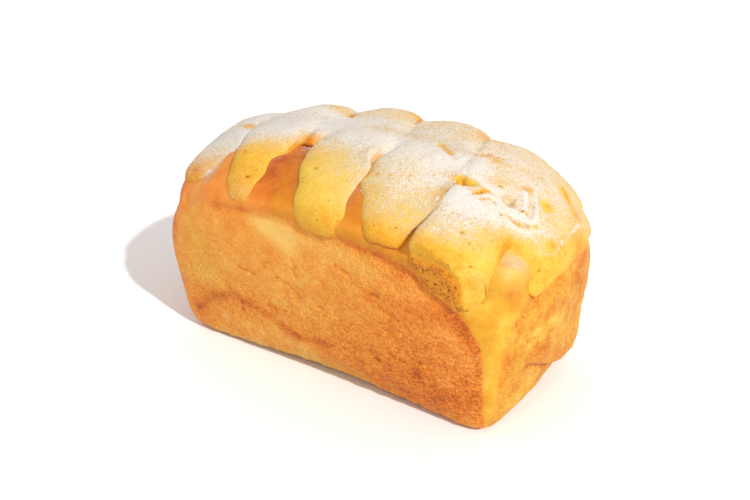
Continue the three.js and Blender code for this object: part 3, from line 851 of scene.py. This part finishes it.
def voronoi(tree, place, scale):
    return add_node(tree, "ShaderNodeTexVoronoi", {"Vector": place, "Scale": scale}, feature="F1")


def attributes(tree, *names):
    """The values that were painted on the points."""
    return [add_node(tree, "ShaderNodeAttribute", attribute_name=name).outputs["Fac"] for name in names]


def new_group(name, inputs, outputs):
    """A shader node group: its inputs are (name, kind, value) and its outputs (name, kind)."""
    group = bpy.data.node_groups.new(name, "ShaderNodeTree")
    for socket, kind, value in inputs:
        made = group.interface.new_socket(socket, in_out="INPUT", socket_type=kind)
        if value is not None:
            made.default_value = value
    for socket, kind in outputs:
        group.interface.new_socket(socket, in_out="OUTPUT", socket_type=kind)
    return group, group.nodes.new("NodeGroupInput").outputs, group.nodes.new("NodeGroupOutput").inputs


def sugar_group():
    """Icing sugar: a thin veil where it lies thick, and single specks where it lies thin."""
    number, colour = "NodeSocketFloat", "NodeSocketColor"
    tree, given, result = new_group(
        "icing sugar dust",
        [("Place", "NodeSocketVector", None), ("Base Color", colour, (1, 1, 1, 1)), ("Amount", number, 0.5),
         # The damp and shade colour: sugar greyed as painted shade, and damp sugar on the crust.
         ("Sugar Color", colour, (0.9, 0.88, 0.84, 1)), ("Damp And Shade Color", colour, (0.7, 0.66, 0.6, 1)),
         ("Damp And Shade", number, 0), ("Speck Share", number, 0.6)],
        [("Color", colour), ("Cover", number), ("Height", number)])
    place, amount = given["Place"], given["Amount"]
    fine = noise(tree, place, 1500, 1)
    middle = noise(tree, place, 560, 2, 0.6)
    dots = add(tree, times(tree, fine, 0.6), times(tree, middle, 0.4))
    limit = spread(tree, amount, 0, 1, 0.70, 0.28)
    specks = spread(tree, math_node(tree, "SUBTRACT", dots, limit), -0.06, 0.08)
    specks = times(tree, specks, spread(tree, amount, 0.01, 0.08))
    veil = times(tree, amount, math_node(tree, "SUBTRACT", 1, given["Speck Share"]))
    cover = math_node(tree, "ADD", veil, times(tree, specks, given["Speck Share"]), True)
    powder = mix_colour(tree, given["Damp And Shade"], given["Sugar Color"], given["Damp And Shade Color"])
    # Painted light and shade between the fine grains of the sugar.
    speck_light_and_shade = noise(tree, place, 1100, 2, 0.7)
    powder = shade_by(tree, powder, spread(tree, speck_light_and_shade, 0.25, 0.75, 0.84, 1.14))
    tree.links.new(mix_colour(tree, cover, given["Base Color"], powder), result["Color"])
    tree.links.new(cover, result["Cover"])
    tree.links.new(times(tree, specks, 0.6), result["Height"])
    return tree


def bubble_group():
    """Small burst bubbles: dots with a dent in some cells of a fine net, which the materials darken as
    painted shade.
    """
    number = "NodeSocketFloat"
    tree, given, result = new_group(
        "burst bubbles",
        [("Place", "NodeSocketVector", None), ("Scale", number, 400), ("Share", number, 0.3),
         ("Size", number, 0.3)],
        [("Mask", number), ("Height", number)])
    net = voronoi(tree, given["Place"], given["Scale"])
    pick = add_node(tree, "ShaderNodeSeparateColor", {0: net.outputs["Color"]})
    chosen = math_node(tree, "LESS_THAN", pick.outputs[0], given["Share"])
    size = times(tree, given["Size"], spread(tree, pick.outputs[1], 0, 1, 0.5, 1))
    hole = math_node(tree, "SUBTRACT", size, net.outputs["Distance"])
    mask = times(tree, spread(tree, hole, 0, 0.12), chosen)
    tree.links.new(mask, result["Mask"])
    tree.links.new(times(tree, mask, -1), result["Height"])
    return tree


def use_group(tree, group, values):
    return add_node(tree, "ShaderNodeGroup", values, node_tree=group).outputs


def finish_shader(tree, colour, roughness, specular, bump=None):
    """The material's own shader. A bump is given by its strength, distance and height."""
    values = {"Base Color": colour, "Roughness": roughness, "Specular IOR Level": specular}
    if bump:
        shape = add_node(tree, "ShaderNodeBump", dict(zip(("Strength", "Distance", "Height"), bump)))
        values["Normal"] = shape.outputs[0]
    shader = add_node(tree, "ShaderNodeBsdfPrincipled", values)
    output = tree.nodes.new("ShaderNodeOutputMaterial")
    tree.links.new(shader.outputs[0], output.inputs[0])


# Colours from the palest bake to the darkest: the crust's two hues, and the stripes.
ROSY_BAKES = [(0, (0.80, 0.470, 0.145)), (0.22, (0.79, 0.362, 0.080)), (0.42, (0.770, 0.278, 0.045)),
              (0.62, (0.69, 0.208, 0.028)), (0.82, (0.58, 0.145, 0.017)), (1, (0.40, 0.080, 0.013))]
GOLD_BAKES = [(0, (0.64, 0.420, 0.068)), (0.24, (0.61, 0.320, 0.026)), (0.44, (0.58, 0.250, 0.021)),
              (0.64, (0.55, 0.186, 0.014)), (0.84, (0.47, 0.126, 0.011)), (1, (0.35, 0.078, 0.010))]
TOPPING_BAKES = [(0, (0.65, 0.470, 0.100)), (0.34, (0.655, 0.400, 0.048)), (0.6, (0.64, 0.312, 0.022)),
                 (0.85, (0.61, 0.226, 0.014)), (1, (0.44, 0.136, 0.012))]

# Sugar that fell on the crust and on the stripes, dry and greyed: painted shade, and damp on the crust.
CRUST_SUGAR = (0.70, 0.62, 0.54, 1)
CRUST_SUGAR_DAMP_AND_SHADED = (0.62, 0.47, 0.37, 1)
STRIPE_SUGAR = (0.645, 0.605, 0.555, 1)
STRIPE_SUGAR_SHADED = (0.55, 0.52, 0.485, 1)


def object_place(tree):
    return add_node(tree, "ShaderNodeTexCoord").outputs["Object"]


def bread_material(sugar, bubbles):
    material, tree = new_material("crust_baked")
    place = object_place(tree)
    bake, gold, grain, dust, damp = attributes(tree, "bake", "gold", "grain", "sugar", "damp")

    def by_grain(low, high):
        """A strength that goes from low on smooth crust to high on pebbly crust."""
        return spread(tree, grain, 0, 1, low, high)

    slant = add_node(tree, "ShaderNodeMapping",
                     {"Vector": place, "Rotation": (0, math.radians(20), 0), "Scale": (0.8, 1, 1.25)})
    beads = voronoi(tree, place, 800).outputs["Distance"]
    coarse = noise(tree, place, 150, 3, 0.55)
    pebble = noise(tree, slant.outputs[0], 520, 2, 0.6)
    fine = noise(tree, place, 1300, 2, 0.6)
    holes = use_group(tree, bubbles, {"Place": place, "Scale": 330, "Share": 0.10, "Size": 0.22})
    # The bake is darker between the beads and in the holes: painted shade of the fine relief.
    total = add(tree, bake, swing(tree, coarse, 0.42),
                swing(tree, pebble, by_grain(0.20, 1.05)), swing(tree, fine, by_grain(0.14, 0.80)),
                times(tree, swing(tree, beads, 0.38), grain),
                times(tree, holes["Mask"], times(tree, grain, 0.30)))
    rosy, golden = (colour_ramp(tree, total, bakes) for bakes in (ROSY_BAKES, GOLD_BAKES))
    # The fine noise also lightens and darkens the colour: painted light and shade of the pebbles.
    shade = add(tree, 1, times(tree, swing(tree, fine, 0.7), by_grain(0.3, 1)))
    colour = shade_by(tree, mix_colour(tree, gold, rosy, golden), shade)
    dusted = use_group(tree, sugar, {"Place": place, "Base Color": colour, "Amount": dust, "Damp And Shade": damp,
                                     "Sugar Color": CRUST_SUGAR, "Damp And Shade Color": CRUST_SUGAR_DAMP_AND_SHADED,
                                     "Speck Share": 0.8})
    height = add(tree, times(tree, pebble, by_grain(0.25, 1.3)), times(tree, fine, by_grain(0.12, 0.70)),
                 times(tree, beads, times(tree, grain, -0.9)),
                 times(tree, dusted["Height"], 0.8), times(tree, holes["Height"], grain))
    shine = spread(tree, dusted["Cover"], 0, 0.5, 0.50, 0.85)
    finish_shader(tree, dusted["Color"], shine, 0.13, (0.85, 0.0007, height))
    return material


def topping_material(sugar, bubbles):
    material, tree = new_material("sponge_batter")
    place = object_place(tree)
    bake, pits, pitted, dust, damp = attributes(tree, "bake", "pits", "pitted", "sugar", "damp")
    coarse = noise(tree, place, 190, 3, 0.55)
    crumb = noise(tree, place, 900, 2, 0.6)
    fine = noise(tree, place, 2200, 1, 0.5)
    holes = use_group(tree, bubbles, {"Place": place, "Scale": 520, "Share": 0.30, "Size": 0.26})
    dense = use_group(tree, bubbles, {"Place": place, "Scale": 1150, "Share": 0.55, "Size": 0.34})
    dense_mask = times(tree, dense["Mask"], pitted)
    pits = spread(tree, pits, 0.35, 0.80)
    # Bubbles and pits are browned and darkened: painted shade in their holes.
    painted_pit_shade = add(tree, times(tree, holes["Mask"], 0.20), times(tree, pits, 0.30), times(tree, dense_mask, 0.12))
    total = add(tree, bake, swing(tree, coarse, 0.55), swing(tree, crumb, 0.70), painted_pit_shade)
    # The fine noise and the holes also shade the colour: painted light and shade of the fine relief.
    shade = add(tree, 1, swing(tree, fine, 0.5), times(tree, holes["Mask"], -0.22),
                times(tree, pits, -0.34), times(tree, dense_mask, -0.14))
    colour = shade_by(tree, colour_ramp(tree, total, TOPPING_BAKES), shade)
    dusted = use_group(tree, sugar, {"Place": place, "Base Color": colour, "Amount": dust, "Damp And Shade": damp,
                                     "Sugar Color": STRIPE_SUGAR, "Damp And Shade Color": STRIPE_SUGAR_SHADED,
                                     "Speck Share": 0.55})
    height = add(tree, times(tree, crumb, 0.8), times(tree, fine, 0.3), holes["Height"],
                 times(tree, dense["Height"], pitted), dusted["Height"])
    shine = spread(tree, dusted["Cover"], 0, 0.5, 0.60, 0.9)
    finish_shader(tree, dusted["Color"], shine, 0.18, (0.7, 0.0005, height))
    return material


def grain_material():
    material, tree = new_material("sugar_white")
    wave = noise(tree, object_place(tree), 900)
    colour = mix_colour(tree, wave, (0.66, 0.62, 0.56), (0.80, 0.77, 0.72))
    finish_shader(tree, colour, 0.7, 0.3, (0.2, 0.0002, wave))
    return material


# ---- grains

# How many loose grains lie on the topping and stick to the front wall, and how wide they are.
TOPPING_GRAINS = 6000
TOPPING_GRAIN_SIZES = (0.20, 0.42)
WALL_GRAINS = 24
WALL_GRAIN_SIZES = (0.35, 0.65)
GRAIN_LIFT = 0.06


def small_shape():
    """A rough grain of 20 faces, about one unit across."""
    bpy.ops.object.select_all(action="DESELECT")
    bpy.ops.mesh.primitive_ico_sphere_add(subdivisions=1, radius=0.5)
    ball = bpy.context.active_object
    corners = np.array([vertex.co[:] for vertex in ball.data.vertices])
    faces = np.array([face.vertices[:] for face in ball.data.polygons])
    bpy.data.objects.remove(ball)
    return corners, faces


def scatter(name, places, sizes, draw):
    """One mesh of many grains, each turned and squeezed its own way."""
    corners, faces = small_shape()
    count = len(places)
    turns = np.linalg.qr(draw.normal(size=(count, 3, 3)))[0]
    turns *= np.sign(np.linalg.det(turns))[:, None, None]
    squeeze = draw.uniform(0.6, 1.2, size=(count, 1, 3))
    shapes = corners[None] * squeeze * draw.uniform(0.85, 1.15, size=(count, len(corners), 1))
    shapes = np.einsum("nij,nkj->nki", turns, shapes) * sizes[:, None, None] + places[:, None, :]
    all_faces = faces[None] + (np.arange(count) * len(corners))[:, None, None]
    mesh = bpy.data.meshes.new(name)
    mesh.from_pydata((shapes.reshape(-1, 3) * MM).tolist(), [], all_faces.reshape(-1, 3).tolist())
    mesh.validate()
    piece = bpy.data.objects.new(name, mesh)
    bpy.context.scene.collection.objects.link(piece)
    return piece


def face_samples(piece, weights, count, draw):
    """Random places on a piece, more of them where the points have a high weight."""
    mesh = piece.data
    mesh.calc_loop_triangles()
    corners = np.zeros(len(mesh.loop_triangles) * 3, np.int32)
    mesh.loop_triangles.foreach_get("vertices", corners)
    corners = corners.reshape(-1, 3)
    points = np.zeros(len(mesh.vertices) * 3)
    mesh.vertices.foreach_get("co", points)
    points = points.reshape(-1, 3) / MM
    first, second, third = (points[corners[:, i]] for i in range(3))
    cross = np.cross(second - first, third - first)
    area = np.linalg.norm(cross, axis=1)
    weight = weights[corners].mean(axis=1) * area
    chosen = draw.choice(len(corners), size=count, p=weight / weight.sum())
    a, b = draw.uniform(size=(2, count, 1))
    flip = a + b > 1.0
    a, b = np.where(flip, 1.0 - a, a), np.where(flip, 1.0 - b, b)
    places = first[chosen] + a * (second - first)[chosen] + b * (third - first)[chosen]
    return places + GRAIN_LIFT * cross[chosen] / area[chosen][:, None]


def sugar_weights(piece):
    """Grains lie all over the sugar, thickest along its border."""
    value = np.zeros(len(piece.data.vertices), np.float32)
    piece.data.attributes["sugar"].data.foreach_get("value", value)
    return value * (1.15 - value)


def wall_weights(piece):
    """A few grains stick to the front wall, most of them right of its middle."""
    skin = Skin(piece)
    share = 0.15 + spot(skin.along, skin.height, (56, 70), (14, 9)) + 0.4 * blend_in(skin.along, 40, 80)
    return blend_in(-skin.normals[:, 1], 0.8, 0.9) * share


# ---- camera and light

# Where the camera stands, in metres, and how far round and up it looks from, in degrees.
CAMERA_PLACE = (0.25631, -0.37881, 0.27935)
CAMERA_ROUND = 34.4
CAMERA_UP = 26.23
LENS = 47.46
SENSOR = 36.0

SKY_COLOUR = (1.0, 0.96, 0.935, 1.0)
SKY_STRENGTH = 0.84
SUN_ROUND = 69.0
SUN_UP = 39.0
SUN_STRENGTH = 2.9
SUN_SPREAD = 2.0
SUN_COLOUR = (1.0, 1.0, 0.99)

FLOOR_SIZE = 12.0
FLOOR_DROP = 0.0001
FLOOR_COLOUR = (0.88, 0.87, 0.867, 1.0)


def direction(round_by, up_by):
    """The way to a place that stands round from the front and up, both in degrees."""
    round_by, up_by = math.radians(round_by), math.radians(up_by)
    level = math.cos(up_by)
    return Vector((math.sin(round_by) * level, -math.cos(round_by) * level, math.sin(up_by)))


def aim_camera():
    back = direction(CAMERA_ROUND, CAMERA_UP)
    right = Vector((0.0, 0.0, 1.0)).cross(back).normalized()
    data = bpy.data.cameras.new("camera")
    data.lens = LENS
    data.sensor_width = SENSOR
    data.clip_start = 0.01
    camera = bpy.data.objects.new("camera", data)
    bpy.context.scene.collection.objects.link(camera)
    turn = Matrix((right, back.cross(right), back)).transposed().to_4x4()
    camera.matrix_world = Matrix.Translation(CAMERA_PLACE) @ turn
    bpy.context.scene.camera = camera


def set_light():
    """Soft white light from all round and a low sun from the right."""
    scene = bpy.context.scene
    scene.view_settings.view_transform = "Standard"
    scene.view_settings.look = "None"
    world = bpy.data.worlds.new("studio")
    world.use_nodes = True
    sky = world.node_tree.nodes["Background"]
    sky.inputs[0].default_value = SKY_COLOUR
    sky.inputs[1].default_value = SKY_STRENGTH
    scene.world = world
    lamp = bpy.data.lights.new("key", "SUN")
    lamp.energy = SUN_STRENGTH
    lamp.angle = math.radians(SUN_SPREAD)
    lamp.color = SUN_COLOUR
    key = bpy.data.objects.new("key", lamp)
    scene.collection.objects.link(key)
    key.rotation_euler = direction(SUN_ROUND, SUN_UP).to_track_quat("Z", "Y").to_euler()


def lay_floor():
    bpy.ops.object.select_all(action="DESELECT")
    bpy.ops.mesh.primitive_plane_add(size=FLOOR_SIZE, location=(0.0, 0.0, -FLOOR_DROP))
    floor = bpy.context.active_object
    floor.name = "floor"
    bpy.ops.object.transform_apply(location=True, rotation=False, scale=False)
    material, tree = new_material("pale_table")
    finish_shader(tree, FLOOR_COLOUR, 0.9, 0.0)
    floor.data.materials.append(material)


def take_place(piece, node, material):
    """Gives a piece its finish and puts it in the place of its CAD solid."""
    piece.data.materials.append(material)
    if node:
        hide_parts(node)
    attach(piece, "root")


aim_camera()
set_light()
lay_floor()

sugar = sugar_group()
bubbles = bubble_group()

bread = baked_copy("bread", "bread_loaf", BREAD_GRAIN, BREAD_SMOOTHING)
bread_looks(bread)
take_place(bread, "bread", bread_material(sugar, bubbles))

topping = baked_copy("topping", "sponge_topping", TOPPING_GRAIN, TOPPING_SMOOTHING)
topping_looks(topping)
take_place(topping, "topping", topping_material(sugar, bubbles))

draw = np.random.default_rng(SEED + 1)
on_topping = face_samples(topping, sugar_weights(topping), TOPPING_GRAINS, draw)
on_wall = face_samples(bread, wall_weights(bread), WALL_GRAINS, draw)
small = draw.uniform(*TOPPING_GRAIN_SIZES, size=TOPPING_GRAINS)
large = draw.uniform(*WALL_GRAIN_SIZES, size=WALL_GRAINS)
grains = scatter("sugar_grains", np.concatenate([on_topping, on_wall]), np.concatenate([small, large]), draw)
take_place(grains, None, grain_material())
